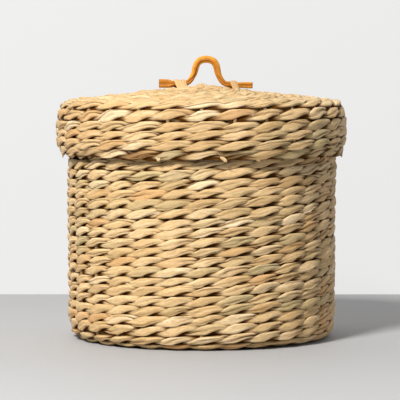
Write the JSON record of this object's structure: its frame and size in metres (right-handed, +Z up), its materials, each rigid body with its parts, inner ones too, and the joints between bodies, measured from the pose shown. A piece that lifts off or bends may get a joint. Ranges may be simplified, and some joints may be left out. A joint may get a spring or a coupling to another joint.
{
  "type": "lidded basket",
  "caption": "Round twined seagrass basket with an overlapping lift-off lid and a rolled-leather loop on top.",
  "frame": {"origin": "centre of the base's underside, on the basket's axis", "axes": "+Z up along the basket's axis; -Y is the front, and the leather loop stands in the XZ plane"},
  "size_m": [0.24, 0.24, 0.2322],
  "materials": {
    "seagrass": "matte dried seagrass",
    "stake": "matte dried stalk",
    "leather": "satin tan leather"
  },
  "bodies": {
    "basket": {"base_round_01": "seagrass", "base_round_02": "seagrass", "base_round_03": "seagrass", "base_round_04": "seagrass", "base_round_05": "seagrass", "base_round_06": "seagrass", "base_round_07": "seagrass", "base_round_08": "seagrass", "base_round_09": "seagrass", "base_round_10": "seagrass", "base_round_11": "seagrass", "base_start_knot": "seagrass", "corner_round_01": "seagrass", "corner_round_02": "seagrass", "rim_border": "seagrass", "stakes": "stake", "wall_round_01": "seagrass", "wall_round_02": "seagrass", "wall_round_03": "seagrass", "wall_round_04": "seagrass", "wall_round_05": "seagrass", "wall_round_06": "seagrass", "wall_round_07": "seagrass", "wall_round_08": "seagrass", "wall_round_09": "seagrass", "wall_round_10": "seagrass", "wall_round_11": "seagrass", "wall_round_12": "seagrass", "wall_round_13": "seagrass", "wall_round_14": "seagrass", "wall_round_15": "seagrass", "wall_round_16": "seagrass", "wall_round_17": "seagrass", "wall_round_18": "seagrass", "wall_round_19": "seagrass", "wall_round_20": "seagrass", "wall_round_21": "seagrass", "wall_round_22": "seagrass"},
    "lid": {"keeper_strands": "seagrass", "lid_centre_knot": "seagrass", "lid_rim_border": "seagrass", "lid_shoulder_round": "seagrass", "lid_skirt_round_01": "seagrass", "lid_skirt_round_02": "seagrass", "lid_skirt_round_03": "seagrass", "lid_stakes": "stake", "lid_top_round_01": "seagrass", "lid_top_round_02": "seagrass", "lid_top_round_03": "seagrass", "lid_top_round_04": "seagrass", "lid_top_round_05": "seagrass", "lid_top_round_06": "seagrass", "lid_top_round_07": "seagrass", "lid_top_round_08": "seagrass", "lid_top_round_09": "seagrass", "lid_top_round_10": "seagrass", "lid_top_round_11": "seagrass", "lid_top_round_12": "seagrass", "lid_top_round_13": "seagrass"},
    "handle": {"leather_loop": "leather"}
  },
  "joints": [
    {"name": "lid_lift", "type": "slide", "parent": "basket", "child": "lid", "axis": [0, 0, 1], "range_m": [0, 0.12]},
    {"name": "handle_tilt", "type": "hinge", "parent": "lid", "child": "handle", "pos_m": [0.0035, 0, 0.2081], "axis": [0.9998, 0, -0.0209], "range_deg": [-60, 60]}
  ]
}
